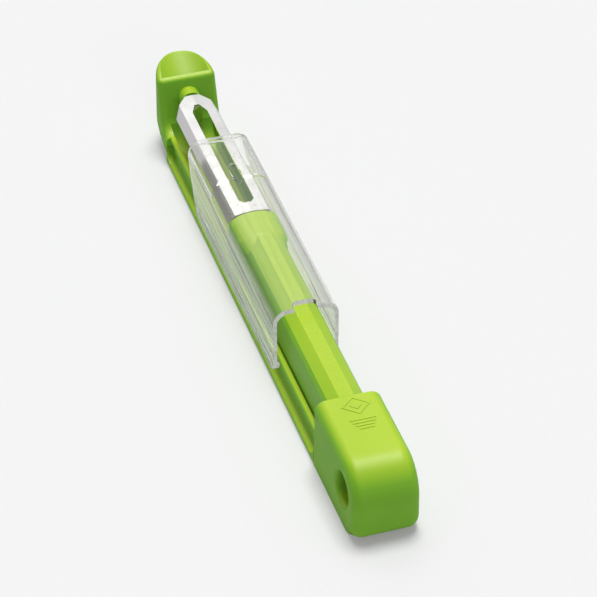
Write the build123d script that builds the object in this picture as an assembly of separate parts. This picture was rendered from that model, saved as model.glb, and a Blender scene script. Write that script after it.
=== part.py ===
"""Swivel vegetable peeler with a sliding blade guard, as separate nodes.

Frame: X runs along the peeler from the hanging end (-X) to the scoop end (+X),
+Y is the left side seen from the hanging end, +Z is up. The origin is at the
middle of the length and width, on the underside. Millimetres throughout.
Stations along the length are given from the hanging end and shifted by HALF_LENGTH.
"""

import os
from math import atan, atan2, cos, degrees, hypot, radians, sin, sqrt

from build123d import *

# --- overall ---
LENGTH = 200.0
HALF_LENGTH = LENGTH / 2
HALF_WIDTH = 9.5
BIG = 60.0  # larger than any section, for cutting tools

# --- grip block at the hanging end ---
BLOCK_END = 34.0
BLOCK_HEIGHT = 21.7
BLOCK_TOP_HALF_WIDTH = 9.25
BLOCK_NOSE_R = 10.6
BLOCK_EDGE_R = 3.2
BLOCK_FAR_EDGE_R = 0.8
BLOCK_TOE_R = 4.6
BLOCK_TOE_DROP = 0.15  # how far the toe's centre sits below tangency, so its arc meets the base at an edge
HANG_X = 10.5
HANG_Z = 10.9
HANG_R = 4.8
HANG_RIM_R = 1.3

# --- plain moulded marks on top of the block ---
MARK_HEIGHT = 0.14
MARK_LINE = 0.5
MARK_SINK = 0.5
MARK_Y = -0.8
LOZENGE_STATION = 29.3
LOZENGE_HALF_LENGTH = 3.6
LOZENGE_HALF_WIDTH = 4.2
LOZENGE_CORE = 0.42  # size of the inner lozenge as a share of the outer one
BAR_MARKS = 4
BAR_MARK_STATION = 23.6
BAR_MARK_PITCH = 1.2
BAR_MARK_LONGEST = 7.4
BAR_MARK_STEP = 1.1

# --- spine ---
FLANGE_TOP = 1.8
RIDGE_TOP = 9.0
RIDGE_OUTER = 8.1
RIDGE_INNER = 6.65
TROUGH_HALF = 6.5
TROUGH_FLOOR = 4.2
TROUGH_FILLET_R = 0.8
FLANGE_EDGE = 0.4
RIDGE_EDGE = 0.3
TRACK_HALF = 7.3  # half width of the spine at the bottom of each undercut side track
TRACK_MOUTH_HALF = 8.7
TRACK_BEND_HALF = 8.0
TRACK_BEND_Z = 2.05
TRACK_HEEL_HALF = 7.5
TRACK_HEEL_Z = 2.6
TRACK_LOW = 3.2
TRACK_HIGH = 6.6
TRACK_LIP = 8.0
RECESS_END = 180.0
RECESS_CORNER_R = 4.0

# --- scoop block at the far end ---
SCOOP_WALL = 188.5  # station of the ridge between the inner wall and the gouge
WALL_LEAN = 0.3  # how far the inner wall leans outward for each unit of height
RIM_Z = 23.9
TIP_Z = 27.9
NOSE_CENTRE = 189.6
NOSE_REACH = 10.9
NOSE_DRAFT = 0.8  # degrees
CHIN_START = 178.0
CHIN_EDGE_R = 4.0
WALL_EDGE_R = 1.8
RIM_EDGE_R = 1.4
DISH_R = 14.0
DISH_START = 190.0
DISH_START_Z = 21.9
DISH_TIP_Z = 26.6
TROUGH_RAMP_START = 175.5
TROUGH_RAMP_R = 9.0
TROUGH_OPEN_TOP = 14.0
BOSS_FACE = 184.0
BOSS_R = 3.4
BOSS_FOOT_Z = 8.2

# --- pivot ---
PIVOT_Z = 18.0
PIN_R = 1.3
RUN_GAP = 0.05
BOSS_BORE_DEPTH = 3.6
COLLAR_BORE_DEPTH = 7.0

# --- handle bar ---
BAR_TOP = 20.9
BAR_FLAT_HALF = 2.05
BAR_SHOULDER_Z = 19.2
BAR_SHOULDER_HALF = 4.85
BAR_ROUND_Z = 18.1
BAR_ROUND_HALF = 5.55
BAR_FLANK_Z = 17.2
BAR_FLANK_HALF = 5.75
BAR_BASE_HALF = 6.45
BAR_SIDE_GAP = 0.2
TENON_LENGTH = 5.0
TENON_HALF = 4.2
TENON_LOW = 8.0
TENON_HIGH = 16.5
SOCKET_GAP = 0.1
COLLAR_START = 109.0
COLLAR_END = 119.4
COLLAR_HALF = 6.9
COLLAR_SKIRT_Z = 9.8
COLLAR_SPRING_Z = 17.9
COLLAR_TOP = 21.1
COLLAR_TUCK = 0.3
COLLAR_TAPER = 5.0  # length over which the bar swells into the collar
COLLAR_TAPER_SHRINK = (0.86, 0.93)  # width and height of the collar where that taper starts
ARCH_STEP = 9  # degrees between the flats of the collar's elliptical top
STOP_LENGTH = 2.2
STOP_TOP = 14.1
STOP_HALF = 5.2
PEG_STATIONS = (52.0, 98.0)
PEG_R = 1.6
PEG_DEPTH = 2.8
PEG_GAP = 0.1

# --- blade ---
BLADE_START = 120.0
BLADE_END = 183.5
SHEET = 1.0
CROWN_Z = 20.95
LAND_HALF = 5.04
LAND_Z = 20.5
FACET_HALF = 6.74
FACET_Z = 17.3
SLOT_HALF = 2.12
SLOT_START = 124.6
SLOT_END = 178.0
SLOT_TAPER = 3.6
SLOT_TIP_HALF = 0.7
SLOT_ROOT = 1.5
SLOT_ROOT_HALF = 0.9
SLOT_BEVEL = 35  # degrees by which the ground edges lean away below the slot
SLOT_CUT_DEPTH = 1.8
TIP_HALF = 2.3
TIP_SHOULDER = (179.6, 5.2)
TIP_CORNER = 177.2
TRIM = 3.0
FRONT_TAB_TOP = 20.3
REAR_TAB_HALF = 4.6
REAR_TAB_LOW = 16.0
REAR_TAB_TOP = 20.2
PIN_HEAD_R = 1.7
PIN_HEAD = 0.7
PIN_IN_BOSS = 3.0
PIN_IN_COLLAR = 6.0

# --- clear guard ---
GUARD_START = 69.5
GUARD_END = 154.5
GUARD_TOP = 24.8
GUARD_ROOF = 1.2
GUARD_INNER_HALF = 8.4
GUARD_CORNER_R = 4.4
GUARD_BOTTOM = 2.6
GUARD_BEAD_HALF = 7.65
GUARD_BEAD_LOW = 3.5
GUARD_BEAD_HIGH = 6.2
GUARD_BEAD_TOP = 7.5
GUARD_FOOT_END = 146.5
GUARD_SLANT_TOP = 19.5
GUARD_FOOT_R = 4.0
GUARD_FOOT_EDGE = 0.4
GUARD_BEAD_LEAD = 0.6
NOTCH_HALF = 3.4
NOTCH_DEPTH = 3.0
NOTCH_R = 1.6
STEP_STATION = 131.0
STEP_THICKNESS = 0.4
LUG_STATION = 136.6
LUG_LENGTH = 9.0
LUG_WIDTH = 3.0
LUG_DEPTH = 1.1
LUG_ROOT = 0.5


def at(station):
    """World X of a station measured from the hanging end."""
    return station - HALF_LENGTH


def side_prism(outline, half_width):
    """Closed side outline in (X, Z) swept across the width."""
    with BuildPart() as prism:
        with BuildSketch(Plane.XZ):
            with BuildLine():
                outline()
            make_face()
        extrude(amount=half_width, both=True)
    return prism.part


def polygon_prism(points, half_width):
    """Straight-sided side outline in stations and heights, swept across the width."""
    corners = [(at(s), z) for s, z in points]
    return side_prism(lambda: Polyline(*corners, close=True), half_width)


def section_prism(points, start, end):
    """Closed cross-section in (Y, Z) swept from one station to another."""
    with BuildPart() as prism:
        with BuildSketch(Plane.YZ.offset(at(start))):
            with BuildLine():
                Polyline(*points, close=True)
            make_face()
        extrude(amount=end - start)
    return prism.part


def mirrored(points):
    """Right half of a cross-section, bottom to top, closed by its mirror image."""
    return points + [(-y, z) for y, z in reversed(points) if y != 0]


def rod_x(radius, start, end, z, y=0.0):
    """Round bar along X between two stations."""
    place = Pos((at(start) + at(end)) / 2, y, z) * Rot(0, 90, 0)
    return place * Cylinder(radius, end - start)


def grip_block():
    """Rounded block that holds the hanging hole, with a domed top corner and a soft toe."""
    taper = section_prism(
        mirrored([(HALF_WIDTH, 0), (BLOCK_TOP_HALF_WIDTH, BLOCK_HEIGHT)]), 0, BLOCK_END
    )
    nose_z = BLOCK_HEIGHT - BLOCK_NOSE_R
    toe_z = BLOCK_TOE_R - BLOCK_TOE_DROP
    toe_x = BLOCK_TOE_R - sqrt(BLOCK_TOE_R**2 - toe_z**2)

    def profile():
        Polyline(
            (at(toe_x), 0), (at(BLOCK_END), 0),
            (at(BLOCK_END), BLOCK_HEIGHT), (at(BLOCK_NOSE_R), BLOCK_HEIGHT),
        )
        RadiusArc((at(BLOCK_NOSE_R), BLOCK_HEIGHT), (at(0), nose_z), -BLOCK_NOSE_R)
        Line((at(0), nose_z), (at(0), toe_z))
        RadiusArc((at(0), toe_z), (at(toe_x), 0), -BLOCK_TOE_R)

    block = taper & side_prism(profile, BIG)
    long_edges = []
    for edge in block.edges():
        middle = edge @ 0.5
        on_side = abs(middle.Y) > BLOCK_TOP_HALF_WIDTH - 0.1
        if on_side and middle.X < at(BLOCK_END) - 1 and middle.Z > 0.1:
            long_edges.append(edge)
    block = fillet(long_edges, BLOCK_EDGE_R)
    far_top = []
    for edge in block.edges():
        middle = edge @ 0.5
        at_far_end = abs(middle.X - at(BLOCK_END)) < 0.01
        if at_far_end and middle.Z > BLOCK_HEIGHT - BLOCK_EDGE_R:
            far_top.append(edge)
    block = fillet(far_top, BLOCK_FAR_EDGE_R)
    block -= Pos(at(HANG_X), 0, HANG_Z) * Rot(90, 0, 0) * Cylinder(HANG_R, 2 * BIG)
    rims = []
    for edge in block.edges():
        point = edge @ 0.3
        radius = hypot(point.X - at(HANG_X), point.Z - HANG_Z)
        if abs(radius - HANG_R) < 0.05 and abs(point.Y) > BLOCK_TOP_HALF_WIDTH - 1:
            rims.append(edge)
    return fillet(rims, HANG_RIM_R)


def raised(sketch_maker, station):
    """Flat mark standing a little proud of the block's top."""
    with BuildPart() as mark:
        with BuildSketch(Plane.XY.offset(BLOCK_HEIGHT - MARK_SINK)):
            with Locations((at(station), MARK_Y)):
                sketch_maker()
        extrude(amount=MARK_SINK + MARK_HEIGHT)
    return mark.part


def lozenge(scale):
    """Flat lozenge, as a share of the full mark."""
    length, width = LOZENGE_HALF_LENGTH * scale, LOZENGE_HALF_WIDTH * scale
    return Polygon((-length, 0), (0, -width), (length, 0), (0, width))


def lozenge_outline():
    lozenge(1)
    offset(amount=-MARK_LINE, mode=Mode.SUBTRACT)


def moulded_marks():
    """Plain lozenge in a lozenge, and a stack of bars that get shorter."""
    marks = [
        raised(lozenge_outline, LOZENGE_STATION),
        raised(lambda: lozenge(LOZENGE_CORE), LOZENGE_STATION),
    ]
    for i in range(BAR_MARKS):
        width = BAR_MARK_LONGEST - BAR_MARK_STEP * i
        station = BAR_MARK_STATION - BAR_MARK_PITCH * i
        marks.append(raised(lambda: Rectangle(MARK_LINE, width), station))
    return marks


def spine():
    """Channel section with undercut side tracks for the guard."""
    half = [
        (HALF_WIDTH - FLANGE_EDGE, 0), (HALF_WIDTH, FLANGE_EDGE),
        (HALF_WIDTH, FLANGE_TOP - FLANGE_EDGE), (HALF_WIDTH - FLANGE_EDGE, FLANGE_TOP),
        (TRACK_MOUTH_HALF, FLANGE_TOP), (TRACK_BEND_HALF, TRACK_BEND_Z),
        (TRACK_HEEL_HALF, TRACK_HEEL_Z), (TRACK_HALF, TRACK_LOW), (TRACK_HALF, TRACK_HIGH),
        (RIDGE_OUTER, TRACK_LIP), (RIDGE_OUTER, RIDGE_TOP - RIDGE_EDGE),
        (RIDGE_OUTER - RIDGE_EDGE, RIDGE_TOP), (0, RIDGE_TOP),
    ]
    return section_prism(mirrored(half), BLOCK_END - 4, RECESS_END + 0.5)


def recess_corners():
    """Rounded lower corners where each side track runs out."""
    corners = []
    r = RECESS_CORNER_R
    low = FLANGE_TOP / 2
    for station, inward in ((BLOCK_END, 1), (RECESS_END, -1)):
        run_out = station + inward * r
        outline = [(station, low), (run_out, low), (run_out, FLANGE_TOP + r), (station, FLANGE_TOP + r)]
        wedge = polygon_prism(outline, HALF_WIDTH - 0.05)
        round_cut = Pos(at(run_out), 0, FLANGE_TOP + r) * Rot(90, 0, 0) * Cylinder(r, 2 * BIG)
        corners.append(wedge - round_cut)
    return corners


def nose_plan():
    """Plan of the scoop block drawn straight up: parallel sides and an elliptical end."""
    with BuildPart() as nose:
        with BuildSketch(Plane.XY):
            with Locations((at((RECESS_END + NOSE_CENTRE) / 2), 0)):
                Rectangle(NOSE_CENTRE - RECESS_END, 2 * HALF_WIDTH)
            with Locations((at(NOSE_CENTRE), 0)):
                Ellipse(NOSE_REACH, HALF_WIDTH)
            with Locations((at(RECESS_END) - BIG / 2, 0)):
                Rectangle(BIG, BIG, mode=Mode.SUBTRACT)
        extrude(amount=BIG / 2, taper=NOSE_DRAFT)
    return nose.part


def nose_profile():
    """Side view of the scoop block: rising chin, sloping rim and leaning inner wall."""
    end = LENGTH + 1
    chin_r = ((end - CHIN_START) ** 2 + TIP_Z**2) / (2 * TIP_Z)
    chin_z = chin_r - sqrt(chin_r**2 - (RECESS_END - CHIN_START) ** 2)
    rise = (TIP_Z - RIM_Z) / (LENGTH - SCOOP_WALL)
    tilt = atan(WALL_LEAN)
    run = SCOOP_WALL - RECESS_END - WALL_LEAN * (RIM_Z - RIDGE_TOP)
    ramp_r = run / (cos(tilt) - WALL_LEAN * (1 - sin(tilt)))
    knee = (at(RECESS_END) + ramp_r * cos(tilt), RIDGE_TOP + ramp_r * (1 - sin(tilt)))
    Line((at(RECESS_END), RIDGE_TOP), (at(RECESS_END), chin_z))
    RadiusArc((at(RECESS_END), chin_z), (at(end), TIP_Z), -chin_r)
    Polyline(
        (at(end), TIP_Z), (at(end), RIM_Z + rise * (end - SCOOP_WALL)), (at(SCOOP_WALL), RIM_Z), knee
    )
    RadiusArc(knee, (at(RECESS_END), RIDGE_TOP), ramp_r)


def scoop_edges(block, wanted):
    """Edges of the scoop block by place: its chin, the sides of its inner wall, or its rim."""
    found = []
    for edge in block.edges():
        start, middle, end = edge @ 0, edge @ 0.5, edge @ 1
        run = abs(start.X - end.X)
        if wanted == "wall":
            hit = abs(middle.Y) > HALF_WIDTH - 0.6 and middle.Z > RIDGE_TOP + 0.5
            hit = hit and run > 1 and min(start.X, end.X) < at(SCOOP_WALL) - 1
        elif wanted == "chin":
            hit = abs(middle.Y) > 0.5 and middle.Z < RIDGE_TOP + 2 and run > 0.5
            hit = hit and middle.X > at(RECESS_END) + 0.1
            hit = hit and (abs(start.Z) < 1 or middle.X > at(SCOOP_WALL) or abs(end.Z) < 1)
        else:
            hit = middle.Z > RIM_Z - 0.6 and (abs(start.Z - end.Z) < 0.01 or run > 0.3)
        if hit:
            found.append(edge)
    return found


def scoop_block():
    """Raised end with a leaning inner wall, soft outer edges and a shallow gouge on top."""
    block = nose_plan() & side_prism(nose_profile, BIG)
    block = fillet(scoop_edges(block, "wall"), WALL_EDGE_R)
    block = fillet(scoop_edges(block, "chin"), CHIN_EDGE_R)
    block = fillet(scoop_edges(block, "rim"), RIM_EDGE_R)
    slope = degrees(atan2(DISH_TIP_Z - DISH_START_Z, LENGTH - DISH_START))
    tool = (
        Pos(at(DISH_START), 0, DISH_START_Z + DISH_R / cos(radians(slope)))
        * Rot(0, 90 - slope, 0) * Cylinder(DISH_R, 2 * BIG)
    )
    keep = Pos(at(DISH_START) + BIG / 2, 0, BIG / 2) * Box(BIG, BIG, BIG)
    return block - (tool & keep)


def trough():
    """Channel between the ridges that ramps up into the scoop block."""
    def outline():
        Polyline(
            (at(TROUGH_RAMP_START + TROUGH_RAMP_R), TROUGH_FLOOR + TROUGH_RAMP_R),
            (at(TROUGH_RAMP_START + TROUGH_RAMP_R), BIG), (at(BLOCK_END), BIG),
            (at(BLOCK_END), TROUGH_FLOOR), (at(TROUGH_RAMP_START), TROUGH_FLOOR),
        )
        RadiusArc(
            (at(TROUGH_RAMP_START), TROUGH_FLOOR),
            (at(TROUGH_RAMP_START + TROUGH_RAMP_R), TROUGH_FLOOR + TROUGH_RAMP_R), -TROUGH_RAMP_R,
        )

    below_ridge = side_prism(outline, BIG)
    walls = mirrored([
        (TROUGH_HALF - TROUGH_FILLET_R, 0), (TROUGH_HALF - TROUGH_FILLET_R, TROUGH_FLOOR),
        (TROUGH_HALF, TROUGH_FLOOR + TROUGH_FILLET_R), (RIDGE_INNER, RIDGE_TOP),
        (RIDGE_INNER, TROUGH_OPEN_TOP),
    ])
    return below_ridge & section_prism(walls, BLOCK_END, SCOOP_WALL)


def pivot_boss():
    """Pillar on the inner wall of the scoop block that carries the front pivot."""
    root = SCOOP_WALL + 1
    head = rod_x(BOSS_R, BOSS_FACE, root, PIVOT_Z)
    pillar = Box(root - BOSS_FACE, 2 * BOSS_R, PIVOT_Z - BOSS_FOOT_Z)
    return head + Pos(at((BOSS_FACE + root) / 2), 0, (PIVOT_Z + BOSS_FOOT_Z) / 2) * pillar


def tenon(gap):
    """Tongue of the bar in the grip block, grown by a gap all round to make its socket."""
    tongue = Box(
        TENON_LENGTH + 2 * gap, 2 * (TENON_HALF + gap), TENON_HIGH - TENON_LOW + 2 * gap
    )
    return Pos(at(BLOCK_END - TENON_LENGTH / 2), 0, (TENON_LOW + TENON_HIGH) / 2) * tongue


def pegs(gap):
    """Locating pegs under the bar, grown by a gap to make their holes."""
    depth = PEG_DEPTH - PEG_GAP + gap
    found = []
    for station in PEG_STATIONS:
        found.append(Pos(at(station), 0, TROUGH_FLOOR - depth / 2) * Cylinder(PEG_R + gap, depth))
    return found


def frame():
    """One moulding: grip block, spine with trough and side tracks, scoop block with its boss."""
    body = grip_block() + spine() + scoop_block()
    for corner in recess_corners():
        body += corner
    body -= trough()
    body += pivot_boss()
    body -= rod_x(PIN_R + RUN_GAP, BOSS_FACE - 1, BOSS_FACE + BOSS_BORE_DEPTH, PIVOT_Z)
    body -= tenon(SOCKET_GAP)
    for hole in pegs(PEG_GAP):
        body -= hole
    for mark in moulded_marks():
        body += mark
    return body


def collar_section():
    """Half section of the collar: upright sides under an elliptical top."""
    half = [(BAR_BASE_HALF - COLLAR_TUCK, RIDGE_TOP), (COLLAR_HALF, COLLAR_SKIRT_Z)]
    rise = COLLAR_TOP - COLLAR_SPRING_Z
    for angle in range(0, 90, ARCH_STEP):
        a = radians(angle)
        half.append((COLLAR_HALF * cos(a), COLLAR_SPRING_Z + rise * sin(a)))
    return half + [(0, COLLAR_TOP)]


def collar_face(station, width, height):
    """Collar section at one station, shrunk towards the middle of the bar."""
    points = []
    for y, z in mirrored(collar_section()):
        points.append((y * width, RIDGE_TOP + (z - RIDGE_TOP) * height))
    with BuildSketch(Plane.YZ.offset(at(station))) as face:
        with BuildLine():
            Polyline(*points, close=True)
        make_face()
    return face.sketch


def collar_taper():
    """Short swell from the bar into the collar."""
    small = collar_face(COLLAR_START - COLLAR_TAPER, *COLLAR_TAPER_SHRINK)
    return loft([small, collar_face(COLLAR_START, 1, 1)], ruled=True)


def handle_bar():
    """Faceted palm bar that fills the trough and ends in the rear pivot collar."""
    half = [
        (TROUGH_HALF - TROUGH_FILLET_R - BAR_SIDE_GAP, TROUGH_FLOOR),
        (BAR_BASE_HALF, TROUGH_FLOOR + TROUGH_FILLET_R + BAR_SIDE_GAP),
        (BAR_FLANK_HALF, BAR_FLANK_Z), (BAR_ROUND_HALF, BAR_ROUND_Z),
        (BAR_SHOULDER_HALF, BAR_SHOULDER_Z), (BAR_FLAT_HALF, BAR_TOP),
    ]
    bar = section_prism(mirrored(half), BLOCK_END, COLLAR_END)
    bar += section_prism(mirrored(collar_section()), COLLAR_START, COLLAR_END)
    bar += collar_taper()
    bar += tenon(0)
    shelf = mirrored([(STOP_HALF, TROUGH_FLOOR), (STOP_HALF, STOP_TOP)])
    bar += section_prism(shelf, COLLAR_END - 1, COLLAR_END + STOP_LENGTH)
    for peg in pegs(0):
        bar += peg
    return bar - rod_x(PIN_R + RUN_GAP, COLLAR_END - COLLAR_BORE_DEPTH, COLLAR_END + 1, PIVOT_Z)


def blade_shell():
    """Arched strip: two lands beside the slot and a steep facet along each side."""
    outer = [(0, CROWN_Z), (LAND_HALF, LAND_Z), (FACET_HALF, FACET_Z)]
    run = hypot(FACET_HALF - LAND_HALF, LAND_Z - FACET_Z)
    foot_y = FACET_HALF - SHEET * (LAND_Z - FACET_Z) / run
    foot_z = FACET_Z - SHEET * (FACET_HALF - LAND_HALF) / run
    fall = (CROWN_Z - LAND_Z) / LAND_HALF
    steep = (LAND_Z - FACET_Z) / (FACET_HALF - LAND_HALF)
    base = CROWN_Z - SHEET * hypot(1, fall)
    knee = (foot_z + steep * foot_y - base) / (steep - fall)
    inner = [(foot_y, foot_z), (knee, base - fall * knee), (0, base)]
    across = [(-y, z) for y, z in reversed(inner[:2])] + [(-y, z) for y, z in reversed(outer[1:])]
    return section_prism(outer + inner + across, BLADE_START, BLADE_END)


def tip_trim(side):
    """Wedge outside the chamfered far corner of the blade."""
    corner = [
        (BLADE_END, TIP_HALF), TIP_SHOULDER, (TIP_CORNER, FACET_HALF), (TIP_CORNER, FACET_HALF + TRIM),
        (BLADE_END + TRIM, FACET_HALF + TRIM), (BLADE_END + TRIM, TIP_HALF),
    ]
    with BuildPart() as trim:
        with BuildSketch(Plane.XY):
            Polygon(*[(at(s), side * y) for s, y in corner], align=None)
        extrude(amount=BIG)
    return trim.part


def slot_cutter():
    """Long opening between the lands, wider below so each side has a ground edge."""
    half = [
        (SLOT_END, SLOT_TIP_HALF), (SLOT_END - SLOT_TAPER, SLOT_HALF),
        (SLOT_START + SLOT_ROOT, SLOT_HALF), (SLOT_START, SLOT_ROOT_HALF),
    ]
    plan = [(at(s), y) for s, y in half + [(s, -y) for s, y in reversed(half)]]
    with BuildPart() as opening:
        with BuildSketch(Plane.XY.offset(CROWN_Z)):
            Polygon(*plan, align=None)
        extrude(amount=-SLOT_CUT_DEPTH, taper=-SLOT_BEVEL)
        with BuildSketch(Plane.XY.offset(CROWN_Z)):
            Polygon(*plan, align=None)
        extrude(amount=1)
    return opening.part


def end_tab(middle, half, low, high):
    """Upright plate that closes one end of the arch."""
    return Pos(at(middle), 0, (low + high) / 2) * Box(SHEET, 2 * half, high - low)


def blade():
    """Pressed strip with its slot, chamfered tip and an end tab for each pivot pin."""
    strip = blade_shell()
    for side in (1, -1):
        strip -= tip_trim(side)
    strip -= slot_cutter()
    strip += rod_x(TIP_HALF, BLADE_END - SHEET, BLADE_END, PIVOT_Z)
    strip += end_tab(BLADE_END - SHEET / 2, TIP_HALF, PIVOT_Z, FRONT_TAB_TOP)
    strip += end_tab(BLADE_START + SHEET / 2, REAR_TAB_HALF, REAR_TAB_LOW, REAR_TAB_TOP)
    strip -= rod_x(PIN_R, BLADE_END - SHEET - 1, BLADE_END + 1, PIVOT_Z)
    return strip - rod_x(PIN_R, BLADE_START - 1, BLADE_START + SHEET + 1, PIVOT_Z)


def front_pivot_pin():
    """Headed pin from the front tab into the boss."""
    pin = rod_x(PIN_R, BLADE_END - SHEET, BOSS_FACE + PIN_IN_BOSS, PIVOT_Z)
    return pin + rod_x(PIN_HEAD_R, BLADE_END - SHEET - PIN_HEAD, BLADE_END - SHEET, PIVOT_Z)


def rear_pivot_pin():
    """Headed pin from the rear tab back into the collar."""
    pin = rod_x(PIN_R, COLLAR_END - PIN_IN_COLLAR, BLADE_START + SHEET, PIVOT_Z)
    return pin + rod_x(PIN_HEAD_R, BLADE_START + SHEET, BLADE_START + SHEET + PIN_HEAD, PIVOT_Z)


def round_top(points, start, end, radius):
    """Prism of a cross-section whose two highest long edges are rounded."""
    prism = section_prism(points, start, end)
    top = max(z for _, z in points)
    shoulders = []
    for edge in prism.edges():
        middle = edge @ 0.5
        if abs(middle.Z - top) < 0.01 and edge.length > (end - start) / 2:
            shoulders.append(edge)
    return fillet(shoulders, radius)


def guard_cavity(top, start, end):
    """Space inside the guard between two stations, under a roof at one height."""
    radius = GUARD_CORNER_R - (HALF_WIDTH - GUARD_INNER_HALF)
    return round_top(
        mirrored([(GUARD_INNER_HALF, GUARD_BEAD_TOP), (GUARD_INNER_HALF, top)]), start, end, radius
    )


def guard_notch():
    """Rounded thumb notch in the near edge of the roof."""
    with BuildPart() as notch:
        with BuildSketch(Plane.XY.offset(GUARD_TOP - BIG / 10)):
            with Locations((at(GUARD_START), 0)):
                RectangleRounded(2 * NOTCH_DEPTH, 2 * NOTCH_HALF, NOTCH_R)
        extrude(amount=BIG)
    return notch.part


def guard_lug():
    """Oval lug under the roof, just beyond the step."""
    with BuildPart() as lug:
        with BuildSketch(Plane.XY.offset(GUARD_TOP - GUARD_ROOF - LUG_DEPTH)):
            with Locations((at(LUG_STATION), 0)):
                Ellipse(LUG_LENGTH / 2, LUG_WIDTH / 2)
        extrude(amount=LUG_DEPTH + LUG_ROOT)
    return lug.part


def blade_guard():
    """Clear inverted channel whose beaded feet run in the spine's side tracks."""
    low_edge = GUARD_BOTTOM + GUARD_FOOT_EDGE
    outside = [
        (HALF_WIDTH - GUARD_FOOT_EDGE, GUARD_BOTTOM), (HALF_WIDTH, low_edge), (HALF_WIDTH, GUARD_TOP),
    ]
    shell = round_top(mirrored(outside), GUARD_START, GUARD_END, GUARD_CORNER_R)
    mouth = GUARD_BEAD_HALF + GUARD_BEAD_LEAD
    between_beads = [
        (mouth, GUARD_BOTTOM - 1), (mouth, GUARD_BOTTOM),
        (GUARD_BEAD_HALF, GUARD_BEAD_LOW), (GUARD_BEAD_HALF, GUARD_BEAD_HIGH),
        (GUARD_INNER_HALF, GUARD_BEAD_TOP), (GUARD_INNER_HALF, GUARD_BEAD_TOP + 1),
    ]
    shell -= section_prism(mirrored(between_beads), GUARD_START - 1, GUARD_END + 1)
    roof = GUARD_TOP - GUARD_ROOF
    shell -= guard_cavity(roof - STEP_THICKNESS, GUARD_START - 1, GUARD_END + 1)
    shell -= guard_cavity(roof, STEP_STATION, GUARD_END + 1)
    front_slant = [
        (GUARD_FOOT_END, 0), (GUARD_FOOT_END, GUARD_BOTTOM), (GUARD_END, GUARD_SLANT_TOP),
        (GUARD_END, BIG), (GUARD_END + BIG, BIG), (GUARD_END + BIG, 0),
    ]
    shell -= polygon_prism(front_slant, BIG)
    r = GUARD_FOOT_R
    before, heel_end, heel_top = GUARD_START - 1, GUARD_START + r, GUARD_BOTTOM + r
    heel = polygon_prism([(before, 0), (heel_end, 0), (heel_end, heel_top), (before, heel_top)], BIG)
    heel -= Pos(at(heel_end), 0, heel_top) * Rot(90, 0, 0) * Cylinder(r, 2 * BIG)
    return shell - heel - guard_notch() + guard_lug()


NODES = {
    "frame": frame,
    "handle_bar": handle_bar,
    "blade": blade,
    "front_pivot_pin": front_pivot_pin,
    "rear_pivot_pin": rear_pivot_pin,
    "blade_guard": blade_guard,
}


def main():
    os.makedirs("parts", exist_ok=True)
    for name, build in NODES.items():
        export_step(build(), f"parts/{name}.step")


main()
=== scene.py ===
import math

import bpy
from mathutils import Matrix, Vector


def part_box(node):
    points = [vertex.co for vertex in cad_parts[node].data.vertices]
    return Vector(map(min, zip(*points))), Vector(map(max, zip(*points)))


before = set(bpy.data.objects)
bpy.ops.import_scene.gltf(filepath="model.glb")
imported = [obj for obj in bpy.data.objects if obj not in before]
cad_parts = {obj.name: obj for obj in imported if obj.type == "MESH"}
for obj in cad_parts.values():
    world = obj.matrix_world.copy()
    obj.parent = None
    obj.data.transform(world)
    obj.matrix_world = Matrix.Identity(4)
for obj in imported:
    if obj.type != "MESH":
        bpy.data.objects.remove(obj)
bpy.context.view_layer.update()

# ---------------------------------------------------------------- looks
# Colours are linear RGB; a pair of colours is the two ends of a surface's mottling.
# Lengths are metres, apart from the camera's lens and sensor.

# Painted light: the green is a shaded copy for faces turned aside and a lit, yellower copy for
# faces turned up.
GREEN_SHADED_SIDES = ((0.155, 0.390, 0.012), (0.180, 0.420, 0.016))
GREEN_LIT_TOPS = ((0.338, 0.495, 0.013), (0.375, 0.528, 0.020))
SIDE_SATIN = 0.26  # extra roughness of the green where it doesn't face up
GRAIN_SCALE = 2600.0
GRAIN_DEPTH = 0.00006
FINISH_SPREAD = 0.10  # how far the grain varies the roughness

STEEL_TINT = ((0.57, 0.565, 0.56), (0.65, 0.645, 0.64))
STEEL_ROUGH = (0.26, 0.38)
GRIND_DEPTH = 0.00002

GUARD_NODE = "blade_guard"
GUARD_PALE = ((0.86, 0.86, 0.835), (0.98, 0.98, 0.97))
# Painted shade: a darker colour for the guard walls that face -Y.
GUARD_PAINTED_SHADE = ((0.34, 0.34, 0.31), (0.76, 0.76, 0.74))
GUARD_MILK = ((0.80, 0.80, 0.78), (0.96, 0.96, 0.95))
GUARD_ROUGH = (0.01, 0.06)
GUARD_IOR = 1.36
GUARD_WAVE_DEPTH = 0.0005
GUARD_END_REACH = 0.0062  # takes in the end faces and the thumb notch
# Painted glow on the guard's end faces, which are no lamp.
END_GLOW = (0.80, 0.82, 0.76)
END_GLOW_STRENGTH = 0.85
END_SHARE = (0.015, 0.92)  # how much of the end look the walls and the end faces have
GUARD_PASSES = (0.95, 0.96, 0.93)  # light let through each surface, for shadows and bounces

FLOOR_TINT = ((0.530, 0.552, 0.526), (0.540, 0.562, 0.536))
FLOOR_GLOW = (0.172, 0.141, 0.179)
FLOOR_HALF = 6.0
FLOOR_GAP = 0.00005

SKY_AXIS = (0.70, -0.02, 0.70)
SKY_STOPS = (
    (0.0, (0.26, 0.26, 0.27)), (0.35, (0.35, 0.35, 0.36)),
    (0.84, (0.62, 0.62, 0.62)), (0.97, (1.75, 1.75, 1.75)),
)
SKY_STRENGTH = 0.80

CAMERA_PLACE = (-0.58775, 0.18077, 0.49247)
CAMERA_YAW = math.radians(17.77)  # turned from +X towards -Y
CAMERA_PITCH = math.radians(38.44)  # below the horizon
SENSOR_MM = 36.0
LENS_MM = 164.81608

# ---------------------------------------------------------------- node helpers


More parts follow.
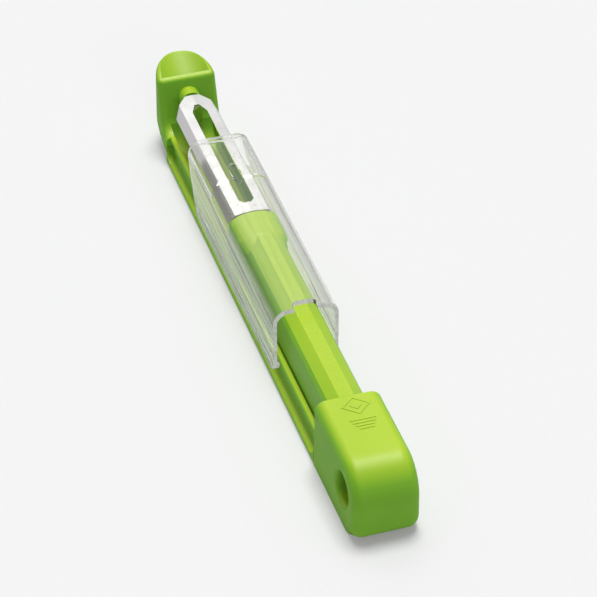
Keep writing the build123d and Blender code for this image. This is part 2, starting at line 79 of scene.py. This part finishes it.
def new_material(name):
    mat = bpy.data.materials.new(name)
    mat.use_nodes = True
    tree = mat.node_tree
    tree.nodes.clear()
    out = tree.nodes.new("ShaderNodeOutputMaterial")
    bsdf = tree.nodes.new("ShaderNodeBsdfPrincipled")
    tree.links.new(bsdf.outputs["BSDF"], out.inputs["Surface"])
    return mat, tree, bsdf, out


def coords(tree, scale=(1, 1, 1)):
    """Object coordinates in metres, stretched by a scale for grain that runs one way."""
    tex = tree.nodes.new("ShaderNodeTexCoord")
    mapping = tree.nodes.new("ShaderNodeMapping")
    mapping.inputs["Scale"].default_value = scale
    tree.links.new(tex.outputs["Object"], mapping.inputs["Vector"])
    return mapping.outputs["Vector"]


def noise(tree, vector, scale, detail=3.0, rough=0.5):
    node = tree.nodes.new("ShaderNodeTexNoise")
    node.inputs["Scale"].default_value = scale
    node.inputs["Detail"].default_value = detail
    node.inputs["Roughness"].default_value = rough
    tree.links.new(vector, node.inputs["Vector"])
    return node.outputs["Fac"]


def ramp(tree, fac, stops):
    """Colour looked up between stops of (position, colour)."""
    node = tree.nodes.new("ShaderNodeValToRGB")
    element = node.color_ramp.elements
    while len(element) < len(stops):
        element.new(0.5)
    for item, (pos, colour) in zip(element, stops):
        item.position = pos
        item.color = (*colour, 1.0)
    tree.links.new(fac, node.inputs["Fac"])
    return node.outputs["Color"]


def mottle(tree, fac, pair, low=0.3, high=0.7):
    """A pair of colours spread over the middle of a noise."""
    return ramp(tree, fac, list(zip((low, high), pair)))


def value_range(tree, fac, low, high, in_low=0.3, in_high=0.7):
    """A value taken from in_low..in_high to low..high and held at both ends."""
    node = tree.nodes.new("ShaderNodeMapRange")
    node.inputs["From Min"].default_value = in_low
    node.inputs["From Max"].default_value = in_high
    node.inputs["To Min"].default_value = low
    node.inputs["To Max"].default_value = high
    tree.links.new(fac, node.inputs["Value"])
    return node.outputs["Result"]


def calc(tree, operation, *values):
    """A sum on values, each a socket or a plain number."""
    node = tree.nodes.new("ShaderNodeMath")
    node.operation = operation
    for socket, value in zip(node.inputs, values):
        if isinstance(value, float):
            socket.default_value = value
        else:
            tree.links.new(value, socket)
    return node.outputs["Value"]


def part_of(tree, vector, axis):
    """One of a vector's three parts."""
    split = tree.nodes.new("ShaderNodeSeparateXYZ")
    tree.links.new(vector, split.inputs["Vector"])
    return split.outputs[axis]


def bump(tree, height, strength, distance, normal=None):
    node = tree.nodes.new("ShaderNodeBump")
    node.inputs["Strength"].default_value = strength
    node.inputs["Distance"].default_value = distance
    tree.links.new(height, node.inputs["Height"])
    if normal is not None:
        tree.links.new(normal, node.inputs["Normal"])
    return node.outputs["Normal"]


def facing(tree, axis, low, high, both_ways=False):
    """How far a surface faces along an axis, as 0 to 1 between two cosines."""
    geometry = tree.nodes.new("ShaderNodeNewGeometry")
    cosine = part_of(tree, geometry.outputs["Normal"], axis)
    if both_ways:
        cosine = calc(tree, "ABSOLUTE", cosine)
    return value_range(tree, cosine, 0.0, 1.0, low, high)


def near_ends(tree, node, reach):
    """One at a piece's two ends along X, falling to nought at a short reach inside them."""
    low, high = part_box(node)
    middle, half = (low[0] + high[0]) / 2, (high[0] - low[0]) / 2
    from_middle = calc(tree, "SUBTRACT", part_of(tree, coords(tree), "X"), middle)
    distance = calc(tree, "ABSOLUTE", from_middle)
    return value_range(tree, distance, 0.0, 1.0, half - reach, half - reach / 2)


def shader_mix(tree, fac, first, second):
    node = tree.nodes.new("ShaderNodeMixShader")
    tree.links.new(fac, node.inputs["Fac"])
    tree.links.new(first.outputs[0], node.inputs[1])
    tree.links.new(second.outputs[0], node.inputs[2])
    return node


def blend_colour(tree, fac, first, second):
    node = tree.nodes.new("ShaderNodeMix")
    node.data_type = "RGBA"
    tree.links.new(fac, node.inputs["Factor"])
    tree.links.new(first, node.inputs["A"])
    tree.links.new(second, node.inputs["B"])
    return node.outputs["Result"]


# ---------------------------------------------------------------- materials


def green_plastic(name, rough, relief):
    """Satin moulded plastic: glossier where it faces up, with painted light there that makes it
    yellower and lighter; mottled along its flow.
    """
    mat, tree, bsdf, _ = new_material(name)
    flow = noise(tree, coords(tree, (0.35, 1, 1)), 45.0, 2.0)
    side = mottle(tree, flow, GREEN_SHADED_SIDES)
    top = mottle(tree, flow, GREEN_LIT_TOPS)
    up = facing(tree, "Z", 0.55, 0.99)
    # Faces turned up take the lit copy of the green: painted light, not a change in the plastic.
    tree.links.new(blend_colour(tree, up, side, top), bsdf.inputs["Base Color"])
    grain = noise(tree, coords(tree), GRAIN_SCALE, 2.0)
    finish = value_range(tree, grain, rough, rough + FINISH_SPREAD)
    satin = value_range(tree, up, SIDE_SATIN, 0.0, 0.0, 1.0)
    tree.links.new(calc(tree, "ADD", finish, satin), bsdf.inputs["Roughness"])
    tree.links.new(bump(tree, grain, relief, GRAIN_DEPTH), bsdf.inputs["Normal"])
    bsdf.inputs["Subsurface Weight"].default_value = 0.30
    bsdf.inputs["Subsurface Radius"].default_value = (0.8, 1.0, 0.1)
    bsdf.inputs["Subsurface Scale"].default_value = 0.0025
    bsdf.inputs["Specular IOR Level"].default_value = 0.32
    return mat


def ground_steel(name):
    """Stainless strip: fine grinding lines across and along it over a faint cloudiness."""
    mat, tree, bsdf, _ = new_material(name)
    across = noise(tree, coords(tree, (2400, 500, 500)), 1.0, 3.0, 0.6)
    along = noise(tree, coords(tree, (70, 2600, 2600)), 1.0, 3.0, 0.6)
    cloud = noise(tree, coords(tree), 160.0, 3.0)
    tree.links.new(mottle(tree, cloud, STEEL_TINT), bsdf.inputs["Base Color"])
    tree.links.new(value_range(tree, across, *STEEL_ROUGH), bsdf.inputs["Roughness"])
    ground = bump(tree, across, 0.20, GRIND_DEPTH)
    tree.links.new(bump(tree, along, 0.12, GRIND_DEPTH, ground), bsdf.inputs["Normal"])
    bsdf.inputs["Metallic"].default_value = 1.0
    return mat


def clear_walls(tree, bsdf, scuff):
    """The clear walls: long moulding streaks and waves, and painted shade that darkens the right
    side.
    """
    tree.links.new(value_range(tree, scuff, *GUARD_ROUGH), bsdf.inputs["Roughness"])
    wave = noise(tree, coords(tree, (12, 300, 300)), 1.0, 1.5)
    tree.links.new(bump(tree, wave, 0.42, GUARD_WAVE_DEPTH), bsdf.inputs["Normal"])
    streak = noise(tree, coords(tree, (9, 520, 520)), 1.0, 2.0)
    pale = mottle(tree, streak, GUARD_PALE, 0.35, 0.55)
    painted_shade_right = mottle(tree, streak, GUARD_PAINTED_SHADE, 0.35, 0.60)
    # Walls that face -Y take the darker colour: painted shade, not a smoky tint in the plastic.
    right = facing(tree, "Y", -0.25, -0.60)
    tree.links.new(blend_colour(tree, right, pale, painted_shade_right), bsdf.inputs["Base Color"])
    bsdf.inputs["Transmission Weight"].default_value = 1.0
    bsdf.inputs["IOR"].default_value = GUARD_IOR
    bsdf.inputs["Specular IOR Level"].default_value = 0.35


def cut_ends(tree, scuff):
    """The end faces: part open, part milky, part bright with a painted glow standing in for light
    piped along the walls.
    """
    haze = noise(tree, coords(tree, (40, 300, 300)), 1.0, 2.0)
    milk = tree.nodes.new("ShaderNodeBsdfDiffuse")
    tree.links.new(mottle(tree, haze, GUARD_MILK), milk.inputs["Color"])
    # Painted glow: an emission standing in for light the walls pipe to the ends.
    painted_glow = tree.nodes.new("ShaderNodeEmission")
    painted_glow.inputs["Color"].default_value = (*END_GLOW, 1)
    painted_glow.inputs["Strength"].default_value = END_GLOW_STRENGTH
    lit = shader_mix(tree, value_range(tree, haze, 0.55, 0.85), milk, painted_glow)
    open_end = tree.nodes.new("ShaderNodeBsdfTransparent")
    return shader_mix(tree, value_range(tree, scuff, 0.62, 0.90), open_end, lit)


def clear_plastic(name):
    """Clear moulded guard, which shadow and bounce rays pass straight through."""
    mat, tree, bsdf, out = new_material(name)
    scuff = noise(tree, coords(tree, (120, 900, 900)), 1.0, 3.0)
    clear_walls(tree, bsdf, scuff)
    end_face = facing(tree, "X", 0.6, 0.8, both_ways=True)
    at_end = calc(tree, "MULTIPLY", end_face, near_ends(tree, GUARD_NODE, GUARD_END_REACH))
    share = value_range(tree, at_end, *END_SHARE, 0.0, 1.0)
    body = shader_mix(tree, share, bsdf, cut_ends(tree, scuff))
    path = tree.nodes.new("ShaderNodeLightPath")
    passing = calc(tree, "MAXIMUM", path.outputs["Is Shadow Ray"], path.outputs["Is Diffuse Ray"])
    clear = tree.nodes.new("ShaderNodeBsdfTransparent")
    clear.inputs["Color"].default_value = (*GUARD_PASSES, 1)
    mix = shader_mix(tree, passing, body, clear)
    tree.links.new(mix.outputs[0], out.inputs["Surface"])
    return mat


def dress(node, mat):
    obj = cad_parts[node]
    if not obj.material_slots:
        obj.data.materials.append(mat)
    for slot in obj.material_slots:
        slot.material = mat


def soften(node, width, angle):
    """Small rounded edge wherever a piece's faces meet at more than an angle in degrees."""
    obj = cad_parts[node]
    weld = obj.modifiers.new("weld", "WELD")
    weld.merge_threshold = 0.000002
    bevel = obj.modifiers.new("edge", "BEVEL")
    bevel.width = width
    bevel.segments = 3
    bevel.limit_method = "ANGLE"
    bevel.angle_limit = math.radians(angle)
    bevel.harden_normals = True


def dress_all():
    block_green = green_plastic("block_green", 0.34, 0.22)
    bar_green = green_plastic("bar_green", 0.22, 0.07)
    steel = ground_steel("ground_steel")
    clear = clear_plastic("clear_plastic")
    dress("frame", block_green)
    dress("handle_bar", bar_green)
    for node in ("blade", "front_pivot_pin", "rear_pivot_pin"):
        dress(node, steel)
    dress(GUARD_NODE, clear)
    soften("handle_bar", 0.0009, 12)
    soften("blade", 0.00025, 12)


# ---------------------------------------------------------------- stage


def stage():
    """Pale light-table floor far larger than the view: its own glow keeps the shadow faint."""
    mesh = bpy.data.meshes.new("floor")
    half = FLOOR_HALF
    corners = [(-half, -half, 0), (half, -half, 0), (half, half, 0), (-half, half, 0)]
    mesh.from_pydata(corners, [], [(0, 1, 2, 3)])
    floor = bpy.data.objects.new("floor", mesh)
    floor.location.z = -FLOOR_GAP
    bpy.context.scene.collection.objects.link(floor)
    mat, tree, bsdf, _ = new_material("floor_paper")
    paper = noise(tree, coords(tree), 900.0, 2.0)
    tree.links.new(mottle(tree, paper, FLOOR_TINT), bsdf.inputs["Base Color"])
    bsdf.inputs["Roughness"].default_value = 0.95
    bsdf.inputs["Specular IOR Level"].default_value = 0.0
    bsdf.inputs["Emission Color"].default_value = (*FLOOR_GLOW, 1)
    bsdf.inputs["Emission Strength"].default_value = 1.0
    floor.data.materials.append(mat)


def sun(name, direction, strength, angle):
    """Distant lamp shining from a direction, as many degrees wide as the angle."""
    data = bpy.data.lights.new(name, "SUN")
    data.energy = strength
    data.angle = math.radians(angle)
    obj = bpy.data.objects.new(name, data)
    obj.rotation_euler = Vector(direction).to_track_quat("Z", "Y").to_euler()
    bpy.context.scene.collection.objects.link(obj)


def lights():
    """Dim surround, bright high beyond the far end; a wide lamp overhead and a faint near one."""
    world = bpy.data.worlds.new("studio")
    bpy.context.scene.world = world
    world.use_nodes = True
    tree = world.node_tree
    background = tree.nodes["Background"]
    tex = tree.nodes.new("ShaderNodeTexCoord")
    dot = tree.nodes.new("ShaderNodeVectorMath")
    dot.operation = "DOT_PRODUCT"
    dot.inputs[1].default_value = Vector(SKY_AXIS).normalized()
    tree.links.new(tex.outputs["Generated"], dot.inputs[0])
    tree.links.new(ramp(tree, dot.outputs["Value"], SKY_STOPS), background.inputs["Color"])
    background.inputs["Strength"].default_value = SKY_STRENGTH
    sun("key", (0.22, -0.10, 0.97), 2.70, 24)
    sun("fill", (-0.90, 0.0, 0.44), 0.60, 40)


def camera():
    data = bpy.data.cameras.new("camera")
    data.sensor_width = SENSOR_MM
    data.lens = LENS_MM
    data.clip_start = 0.01
    cam = bpy.data.objects.new("camera", data)
    level = math.cos(CAMERA_PITCH)
    ahead = Vector((
        math.cos(CAMERA_YAW) * level, -math.sin(CAMERA_YAW) * level, -math.sin(CAMERA_PITCH),
    ))
    cam.location = CAMERA_PLACE
    cam.rotation_euler = ahead.to_track_quat("-Z", "Y").to_euler()
    bpy.context.scene.collection.objects.link(cam)
    bpy.context.scene.camera = cam


dress_all()
stage()
lights()
camera()
bpy.context.scene.view_settings.view_transform = "Standard"
